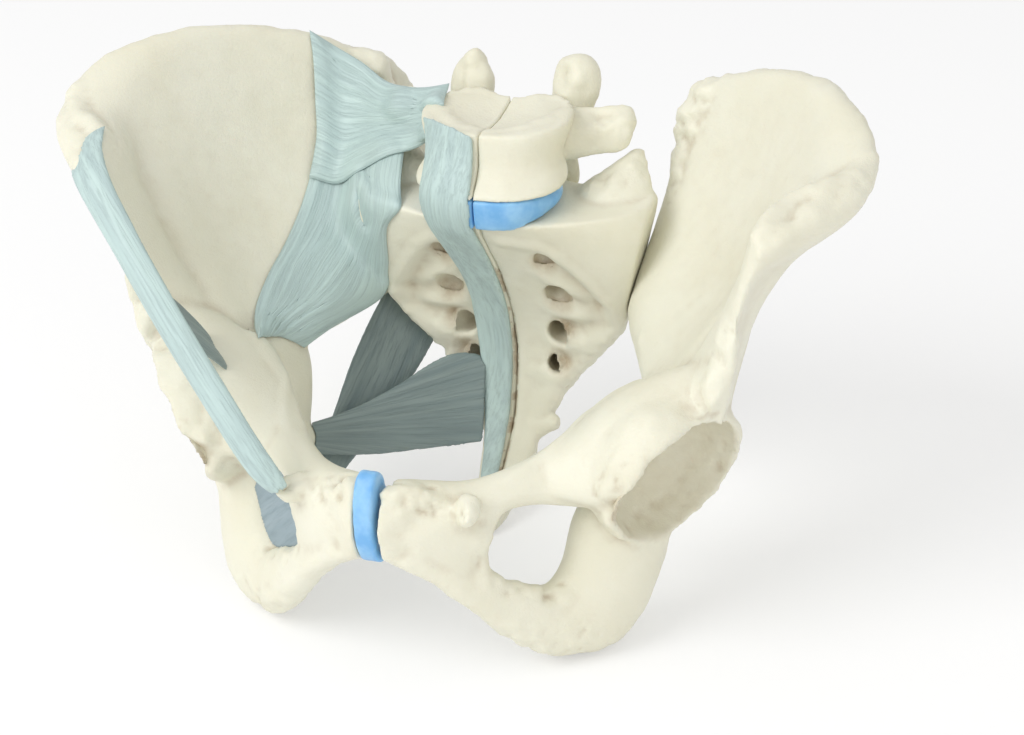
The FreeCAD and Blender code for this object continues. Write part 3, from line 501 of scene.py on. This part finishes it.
def crest_lip(work, seed):
    """The curled lip and rough spines in front, and the ragged bare strip behind."""
    work.putty((96, 26, 34), 15, 80)
    lip = [(113, 5, 85), (116, 13, 92), (118, 17, 96), (122, 19, 99), (128, 20, 102), (134, 24, 106),
           (138, 30, 111)]
    work.line(lip, 6, 2.6, (-0.5, 0.4, 0.8))
    work.line([(x - 4, y + 5, z - 7) for x, y, z in lip[1:]], 6, -1.6, (-0.7, 0.5, 0.3))
    work.rough(work.near(lip, 10), 4.0, 0.5, seed + 60)
    work.swell((101, 25, 49), 11, 0.8)
    work.swell((104, 20, 56), 8, -1.2)
    work.rough(work.near([(104, 20, 56), (100, 27, 46), (98, 27, 39)], 9), 3.5, 0.9, seed + 61)
    strip = [(61, 104, 137), (57, 107, 131), (53, 108, 122), (50, 106, 113), (49, 100, 104)]
    work.line(strip, 9, 3.4, (-1.0, 0.1, 0.2))
    work.rough(work.near(strip, 12), 5.0, 2.0, seed + 62)
    work.rough(work.near([(61, 104, 137), (66, 103, 144)], 9), 6.0, 1.6, seed + 63)
    gap = [(48, 92, 108), (49, 86, 96), (46, 88, 84), (43, 96, 70), (42, 104, 58)]
    work.darken(0.8 * work.near(gap, 5) * (grain(work.points, 4.0, seed + 64, 2) > -0.35))


def socket_details(work, seed):
    """The horseshoe bearing surface, its rough floor, the notch below and the pitted bone in front."""
    offset = work.points - SOCKET
    depth = offset @ SOCKET_WAY
    radius = np.linalg.norm(offset - depth[:, None] * SOCKET_WAY, axis=1)
    inside = (radius < 25) & (depth < 6) & (depth > -30) & (work.facing @ SOCKET_WAY > 0.05)
    floor_part = np.clip((15 - radius) / 2.5, 0, 1) * inside
    work.relief -= 1.0 * floor_part
    work.rough(floor_part, 4.0, 0.5, seed + 70)
    # Painted shade inside the cup, heavier on its sunken floor
    work.darken(0.30 * floor_part)
    work.darken(0.12 * inside)
    rim = np.clip(1 - np.abs(radius - 25) / 5, 0, 1) * (np.abs(depth) < 9)
    work.rough(rim, 9.0, 1.1, seed + 71)
    work.spots([(74, 24, -2), (71, 26, -6), (75, 30, -8)], 7, -2.4)
    work.spots([(70, 24, 1), (69, 30, -11)], 6, 2.0)
    # Painted shade in the sunken pits of the notch
    work.darken(0.75 * work.near([(72, 25, -3), (73, 29, -7)], 4.5))
    pores = work.near([(78, 19, 13), (74, 20, 5), (70, 24, -1)], 9)
    pits = np.clip(grain(work.points, 2.6, seed + 72, 2) - 0.3, 0, 1)
    work.relief -= 1.3 * pores * pits
    # Painted shade in the pits of the pitted bone
    work.darken(0.55 * pores * pits)
    work.swell((79, 24, 26), 15, 1.6)


def pubic_details(work, seed):
    """The lumpy pubic crest and tubercle, the sharp brim line and the uneven border of the opening."""
    work.putty((29, 3, -9), 13, 120)
    ridge = [(6, 1, -5), (12, 2, -6), (18, 4, -7), (25, 3, -8), (31, 5, -8)]
    work.line(ridge, 6, 1.3)
    work.swell((29.3, 2.5, -9), 7, -2.2)
    work.rough(work.near(ridge, 11), 6.0, 2.6, seed + 80)
    work.rough(work.near(ridge, 9), 2.8, 0.8, seed + 81)
    work.line([(17, 4, -15), (11, 3, -20), (12, 6, -26)], 6, -1.0)
    work.line([(31, 13, -4), (41, 25, 4.5), (50, 39, 19), (57, 60, 37), (57, 80, 51)], 3.5, 0.8)
    opening = [(34, 20, -15), (33, 22, -22), (34, 26, -29), (41, 33, -33), (52, 44, -33)]
    work.rough(work.near(opening, 8), 5.0, 1.5, seed + 82)
    work.line([(14, 10, -31), (24, 18, -36), (34, 28, -42), (46, 38, -49)], 6, 0.9)
    work.rough(work.near([(60, 52, -47), (50, 44, -52), (40, 38, -50)], 12), 3.5, 0.9, seed + 83)


def sacrum_half(node, side, seed):
    """Half a sacrum with its nerve grooves, ridges, uneven border and the stain along the midline cut."""
    obj = dressed(node, BONE, "bone", *SACRUM_MESH)
    work = Carving(obj, side)
    work.rough(1.0, 10.0, 0.22, seed)
    for groove, depth in NERVE_GROOVES:
        work.line(groove, 6.5, -1.3 * depth, (0, -1, 0.1))
        work.swell(groove[0], 5.5, -1.4, (0, -1, 0))
        # Painted shade in the holes at the grooves' ends and along the grooves
        work.darken(0.85 * work.near(groove[:1] * 2, 8))
        work.darken(0.22 * work.near(groove, 4))
    for ridge in SACRAL_RIDGES:
        work.line(ridge, 5.0, 0.9, (0, -1, 0.1))
    margin = [(44, 105, 56), (36, 114, 46), (27, 121, 38), (19, 127, 30), (14, 131, 22), (9, 133, 12),
              (6, 131, 2)]
    work.rough(work.near(margin, 8), 6.0, 1.7, seed + 5)
    work.rough(work.near([(34, 87, 103), (42, 89, 109), (46, 92, 112)], 11), 5.0, 0.9, seed + 6)
    brim = [(6, 74, 79), (19, 77, 78), (25, 81, 75), (34, 92, 67), (42, 104, 58)]
    work.line(brim, 5, 1.0)
    work.close_cut()
    middle = (work.points[:, 0] < 0.9) & (work.facing[:, 1] < 0.2) & (work.points[:, 2] < 70)
    work.darken(0.75 * middle * (grain(work.points, 3.0, seed + 7, 2) > -0.2))
    work.finish(1)


def vertebra_half(node, side, seed):
    """Half a vertebra; the left joint process is broad with a hollow facet and the right one is pointed."""
    obj = dressed(node, BONE, "bone", *VERTEBRA_MESH)
    work = Carving(obj, side)
    work.rough(1.0, 8.0, 0.2, seed)
    head = (20, 90, 138) if side > 0 else (17, 90, 138)
    if side > 0:
        work.swell((20, 91, 141), 13, 4.2)
        work.swell((16, 87, 138), 8, -4.0, (-0.5, -0.8, 0.3))
        work.line([(27, 92, 141), (27, 93, 133)], 6, 1.6)
    else:
        work.swell((17, 90, 141), 6, 3.6, (0, 0, 1))
        work.line([(12, 91, 134), (11, 91, 126)], 7, 2.2)
        work.line([(21, 90, 136), (20, 88, 128)], 6, -1.4, (1, -0.3, 0))
    work.rough(work.near([head] * 2, 9), 4.0, 0.8, seed + 1)
    work.rough(work.near([(34, 85, 124), (42, 87, 122)], 10), 5.0, 0.9, seed + 2)
    work.line([(31, 85, 125), (30, 87, 117)], 6, -1.6)
    work.swell((41, 86, 122), 7, 1.2)
    rim = [(2, 61, 114), (12, 64, 117), (21, 71, 121.5), (25, 79, 126), (21, 86, 130), (10, 86, 129)]
    work.line(rim, 4.5, 0.9, (0, -0.4, 1))
    work.swell((0, 74, 121), 15, -1.0, (0, -0.4, 1))
    work.rough(work.near(rim, 5), 4.0, 0.4, seed + 3)
    work.close_cut()
    # 0.35: a lighter painted shade in the vertebra's hollows
    work.finish(1, 0.35)


hip_bone("left_hip_bone", 1, 11)
hip_bone("right_hip_bone", -1, 111)
sacrum_half("left_sacrum", 1, 211)
sacrum_half("right_sacrum", -1, 311)
vertebra_half("left_l5", 1, 411)
vertebra_half("right_l5", -1, 511)


# Discs and ligaments

def shape_disc(obj, node):
    """Draws the discs in a little at their free ends, as the moulded ones are."""
    points = standing(coords(obj))
    if node == "symphysis_disc":
        # The left face steps back from the bone, which leaves the dark parting line of the model
        points[:, 0] -= 1.5 * np.clip((points[:, 0] + 3.5) / 7, 0, 1)
        points[:, 0] += 0.35 * grain(points, 6.0, 700, 2)
    else:
        # The side end is drawn in, and on the left it also thins towards a slanting middle plane
        side = 1 if node.startswith("left") else -1
        drawn_in = 2.6 if side > 0 else 4.0
        ending = np.clip((points[:, 0] * side - 12) / 13, 0, 1)
        middle = points[:, 2].mean() + 0.55 * (points[:, 1] - points[:, 1].mean())
        points[:, 0] -= side * drawn_in * ending
        points[:, 2] += (middle - points[:, 2]) * 0.30 * ending ** 2 * (side > 0)
    set_coords(obj, placed(points))


for disc_node in ("left_lumbosacral_disc", "right_lumbosacral_disc", "symphysis_disc"):
    shape_disc(dressed(disc_node, DISC, "disc", *DISC_MESH), disc_node)


def straight_fibres(points, start, end):
    """Millimetres along and across a straight run of fibres, in the standing frame."""
    start = np.array(start, float)
    along = np.array(end, float) - start
    along /= np.linalg.norm(along)
    side = np.cross(along, [0.3, -0.9, 0.3])
    side /= np.linalg.norm(side)
    rows = points - start
    return np.stack([rows @ along, rows @ side, 0.4 * (rows @ np.cross(along, side))], axis=1)


def fanned_fibres(points, apex, towards, facing):
    """The same for fibres that spread from a point."""
    along = np.array(towards, float) - np.array(apex, float)
    along /= np.linalg.norm(along)
    side = np.cross(np.array(facing, float), along)
    side /= np.linalg.norm(side)
    rows = points - np.array(apex, float)
    forward = rows @ along
    across = rows @ side
    reach = np.hypot(forward, across)
    return np.stack([reach, 60 * np.arctan2(across, forward), np.zeros(len(points))], axis=1)


def ligament(node, fibres, material=LIGAMENT, slot_name="ligament", voxel=0.7, smoothing=3):
    """A moulded ligament: its own solid, with fine waves across the run of its fibres."""
    obj = dressed(node, material, slot_name, voxel, smoothing)
    points = standing(coords(obj))
    points[:, 0] *= -1
    rows = fibres(points)
    waves = grain(np.stack([rows[:, 0] * 0.08, rows[:, 1], rows[:, 2]], axis=1), 2.4, 900, 2)
    co = coords(obj) + normals(obj) * (0.16 * MM * waves)[:, None]
    set_coords(obj, co)
    store_vector(obj, "fibre", rows)


SACROILIAC_ROWS = [
    [(72.5, 92, 111), (64, 96, 111), (55, 94, 112), (46, 90, 113), (37, 85, 109)],
    [(72.7, 89.5, 97), (63.5, 94, 98), (54, 90, 98), (44, 82, 98), (33, 75.5, 96)],
    [(73, 84.5, 83), (63, 90.5, 85), (52, 87, 86), (42, 78.5, 86), (32, 75, 85)],
    [(74, 77.4, 69.5), (64.5, 86, 73), (54, 91, 75), (46, 88, 76), (40, 84, 77)],
    [(75.2, 69.5, 58), (67, 79.3, 62), (57, 87.5, 63.5), (51, 93, 64), (44, 99.5, 64)],
    [(75, 62.5, 47), (69, 73, 49), (61, 80.5, 52), (54, 89, 53), (46.5, 104.5, 55.5)],
    [(71, 54.5, 40), (69, 62, 42), (66, 70, 43), (62, 77, 43), (56, 85.5, 42.5)],
    [(66, 47.5, 35), (66, 52, 36), (65.5, 58, 37), (65, 65, 37), (61.5, 76.5, 34.5)]]
ILIOLUMBAR_ROWS = [
    [(80, 89, 146), (77, 89, 135), (75, 90.5, 121), (73, 91, 108), (72.5, 88, 94)],
    [(72, 93.5, 142), (69, 95, 130), (67, 95.5, 117), (64.5, 95, 104), (63, 92, 93)],
    [(61, 95, 137), (59, 95, 127), (57, 94.5, 117), (55, 93, 107), (53, 90, 98)],
    [(50, 92, 131), (49, 91.5, 123), (47, 90, 117), (45, 88, 110), (43, 86, 103)],
    [(40, 87, 129), (38, 86, 123), (36, 85, 118), (34, 83, 112.5), (32, 81, 107)],
    [(31, 83.5, 129), (29.5, 82, 123), (28, 81, 118.5), (26.5, 80, 114), (25, 79, 110)],
    [(23, 84, 131), (22, 80, 124), (21, 79, 119), (20, 78, 114), (19, 77, 109)]]
RIGHT_BONES = ("shown_right_hip_bone", "shown_right_sacrum", "shown_right_l5")


def curved(rows, count):
    """A smooth run through a row of points, spread over more of them."""
    rows = np.array(rows, float)
    ends = np.concatenate([2 * rows[:1] - rows[1:2], rows, 2 * rows[-1:] - rows[-2:-1]])
    place = np.linspace(0, len(rows) - 1 - 1e-6, count)
    cell = place.astype(int)
    part = (place - cell).reshape(-1, *([1] * (rows.ndim - 1)))
    a, b, c, d = (ends[cell + step] for step in range(4))
    return 0.5 * (2 * b + (c - a) * part + (2 * a - 5 * b + 4 * c - d) * part ** 2
                  + (3 * b - a - 3 * c + d) * part ** 3)


# A ray starts this high above the sheet and looks this far, in millimetres
RAY_START = 18
RAY_LENGTH = 26
CLEAR_OF_BONE = 0.6
HIGHEST_RISE = 9
SHEET_ROWS = 110
SHEET_COLUMNS = 80

# The run of a sheet's fibres, in the material's units along and across
SHEET_REACH = 100
SHEET_TURN = 46


def neighbours_mean(grid):
    """Each value of a grid replaced by the mean of the four beside it."""
    wide = np.pad(grid, 1, mode="edge")
    return (wide[:-2, 1:-1] + wide[2:, 1:-1] + wide[1:-1, :-2] + wide[1:-1, 2:]) / 4


def lift_over(flat, way, pieces):
    """How far each point of a sheet has to rise so that it lies on the pieces below, and not in them."""
    trees = []
    for name in pieces:
        piece = bpy.data.objects[name]
        corners = [tuple(co) for co in coords(piece)]
        trees.append(BVHTree.FromPolygons(corners, [tuple(face.vertices) for face in piece.data.polygons]))
    above = np.zeros(len(flat))
    for index, spot in enumerate(flat):
        start = Vector(spot + way * (RAY_START * MM))
        for tree in trees:
            hit = tree.ray_cast(start, Vector(-way), RAY_LENGTH * MM)
            rise = RAY_START - hit[3] / MM + CLEAR_OF_BONE if hit[0] is not None else 0
            if rise < HIGHEST_RISE:
                above[index] = max(above[index], rise)
    above = above.reshape(SHEET_ROWS, SHEET_COLUMNS)
    lift = above.copy()
    for _ in range(30):
        lift = np.maximum(neighbours_mean(lift), above)
    for _ in range(4):
        lift = neighbours_mean(lift)
    return lift.ravel()


def border_taper():
    """Shares of the full thickness, thin at the sheet's borders."""
    down, across = np.arange(SHEET_ROWS), np.arange(SHEET_COLUMNS)
    rows_in = np.minimum(down, down[::-1])[:, None] / 9
    columns_in = np.minimum(across, across[::-1])[None, :] / 7
    full = np.clip(np.minimum(rows_in, columns_in), 0, 1)
    return np.clip(0.12 + 0.88 * full * (2 - full), 0, 1).ravel()


def draped_ligament(node, rows, way, pieces, thickness=1.8):
    """A sheet laid over the bones: no point of it lies deeper than the surfaces it crosses."""
    grid = curved(np.array(rows, float), SHEET_ROWS)
    grid = np.swapaxes(curved(np.swapaxes(grid, 0, 1), SHEET_COLUMNS), 0, 1)
    grid[..., 0] *= -1
    flat = placed(grid.reshape(-1, 3))
    outward = (np.array(way, float) / np.linalg.norm(way) * (-1, 1, 1)) @ STANDING
    lift = lift_over(flat, outward, pieces)
    along = np.linspace(SHEET_REACH, 0, SHEET_ROWS)
    reach, turn = np.meshgrid(along, np.linspace(0, SHEET_TURN, SHEET_COLUMNS), indexing="ij")
    fibre = np.stack([reach, turn, np.zeros_like(turn)], axis=-1).reshape(-1, 3)
    waves = grain(np.stack([fibre[:, 0] * 0.05, fibre[:, 1], fibre[:, 2]], axis=1), 3.0, 930, 3)
    shown = flat + outward * ((lift + 0.22 * waves)[:, None] * MM)
    faces = []
    for i in range(SHEET_ROWS - 1):
        for j in range(SHEET_COLUMNS - 1):
            first = i * SHEET_COLUMNS + j
            faces.append((first, first + 1, first + SHEET_COLUMNS + 1, first + SHEET_COLUMNS))
    mesh = bpy.data.meshes.new("shown_" + node)
    mesh.from_pydata([tuple(co) for co in shown], [], faces)
    obj = bpy.data.objects.new("shown_" + node, mesh)
    bpy.context.scene.collection.objects.link(obj)
    store_vector(obj, "fibre", fibre)
    group = obj.vertex_groups.new(name="thick")
    for index, share in enumerate(border_taper()):
        group.add([index], float(share), "REPLACE")
    thick = obj.modifiers.new("Thick", "SOLIDIFY")
    thick.thickness = thickness * MM
    thick.vertex_group = "thick"
    thick.offset = 1.0 if normals(obj).mean(axis=0) @ outward > 0 else -1.0
    applied(obj)
    mesh = obj.data
    mesh.polygons.foreach_set("use_smooth", [True] * len(mesh.polygons))
    mesh.materials.append(LIGAMENT)
    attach(obj, "root")
    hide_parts(node)


ligament("anterior_longitudinal_ligament", lambda p: straight_fibres(p, (10, 60, 110), (6, 122, 20)))
draped_ligament("anterior_sacroiliac_ligament", SACROILIAC_ROWS, (-0.45, -0.85, 0.27), RIGHT_BONES)
draped_ligament("iliolumbar_ligament", ILIOLUMBAR_ROWS, (-0.3, -0.95, 0.1),
                RIGHT_BONES + ("shown_anterior_sacroiliac_ligament",))
# The sacrospinous and sacrotuberous ligaments and the iliopectineal arch get the darker colours as painted
# shade
ligament("sacrospinous_ligament", lambda p: fanned_fibres(p, (75, 76, 2), (17, 119, 25), (-0.5, -0.85, 0)),
         SHADED_LIGAMENT)
ligament("sacrotuberous_ligament", lambda p: straight_fibres(p, (66, 74, -40), (43, 124, 64)), SHADED_LIGAMENT)
ligament("inguinal_ligament", lambda p: straight_fibres(p, (118, 8, 88), (31, 1, -9)))
ligament("iliopectineal_arch", lambda p: straight_fibres(p, (76, -2, 38), (72, 38, 25)), SHADED_LIGAMENT)
ligament("posterior_sacroiliac_ligament", lambda p: straight_fibres(p, (47, 141, 98), (12, 129, 86)))
ligament("obturator_membrane", lambda p: straight_fibres(p, (30, 24, -12), (58, 46, -24)),
         MEMBRANE, "membrane", voxel=0.5, smoothing=2)
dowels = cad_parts["locating_dowels"]
dowels.data.materials.clear()
dowels.data.materials.append(STEEL)


# Floor, light and camera

MODEL_MIDDLE = (0, 0, 0.08)
FLOOR_REACH = 6.0
FLOOR_GLOW = 0.4


def paper_material():
    """White paper: part of its own brightness is only seen, and lights nothing, so the shadow stays soft."""
    mat, tree, shader = new_material("paper", PAPER_WHITE, 0.9)
    rays = tree.nodes.new("ShaderNodeLightPath")
    seen = rays.outputs["Is Camera Ray"]
    for kind in ("Is Glossy Ray", "Is Transmission Ray"):
        either = tree.nodes.new("ShaderNodeMath")
        either.operation = "MAXIMUM"
        tree.links.new(seen, either.inputs[0])
        tree.links.new(rays.outputs[kind], either.inputs[1])
        seen = either.outputs[0]
    share = ranged(tree, seen, 0.0, 1.0, 0.0, FLOOR_GLOW)
    glow = tree.nodes.new("ShaderNodeEmission")
    both = tree.nodes.new("ShaderNodeMixShader")
    tree.links.new(share, both.inputs[0])
    tree.links.new(shader.outputs[0], both.inputs[1])
    tree.links.new(glow.outputs[0], both.inputs[2])
    tree.links.new(both.outputs[0], tree.nodes["Material Output"].inputs["Surface"])
    return mat


def floor():
    mesh = bpy.data.meshes.new("floor")
    corners = [(-1, -1, 0), (1, -1, 0), (1, 1, 0), (-1, 1, 0)]
    mesh.from_pydata([(x * FLOOR_REACH, y * FLOOR_REACH, z) for x, y, z in corners], [], [(0, 1, 2, 3)])
    obj = bpy.data.objects.new("floor", mesh)
    bpy.context.scene.collection.objects.link(obj)
    obj.data.materials.append(paper_material())


def area_light(name, spot, aim, size, power):
    data = bpy.data.lights.new(name, "AREA")
    data.shape = "DISK"
    data.size = size
    data.energy = power
    obj = bpy.data.objects.new(name, data)
    bpy.context.scene.collection.objects.link(obj)
    obj.location = spot
    obj.rotation_euler = (Vector(aim) - Vector(spot)).to_track_quat("-Z", "Y").to_euler()


def world_light(strength):
    world = bpy.data.worlds.new("studio")
    bpy.context.scene.world = world
    world.use_nodes = True
    back = world.node_tree.nodes["Background"]
    back.inputs["Color"].default_value = (1, 1, 1, 1)
    back.inputs["Strength"].default_value = strength


CAMERA_SPOT = (0.32322, -0.7653, 0.50550)
CAMERA_RIGHT = (0.93661, 0.34578, -0.05652)
CAMERA_UP = (-0.1153, 0.45653, 0.88221)
FOCAL_LENGTH = 97.17


def camera():
    data = bpy.data.cameras.new("camera")
    data.lens = FOCAL_LENGTH
    data.sensor_width = 36.0
    data.clip_start = 0.01
    obj = bpy.data.objects.new("camera", data)
    bpy.context.scene.collection.objects.link(obj)
    right = Vector(CAMERA_RIGHT).normalized()
    up = Vector(CAMERA_UP).normalized()
    back = right.cross(up)
    rows = Matrix((right, up, back)).transposed().to_4x4()
    obj.matrix_world = Matrix.Translation(CAMERA_SPOT) @ rows
    bpy.context.scene.camera = obj


floor()
area_light("key", (-0.8, -1.0, 1.25), MODEL_MIDDLE, size=1.3, power=15)
area_light("fill", (1.1, -1.1, 0.8), MODEL_MIDDLE, size=1.4, power=4)
world_light(0.71)
camera()
bpy.context.scene.view_settings.view_transform = "Standard"
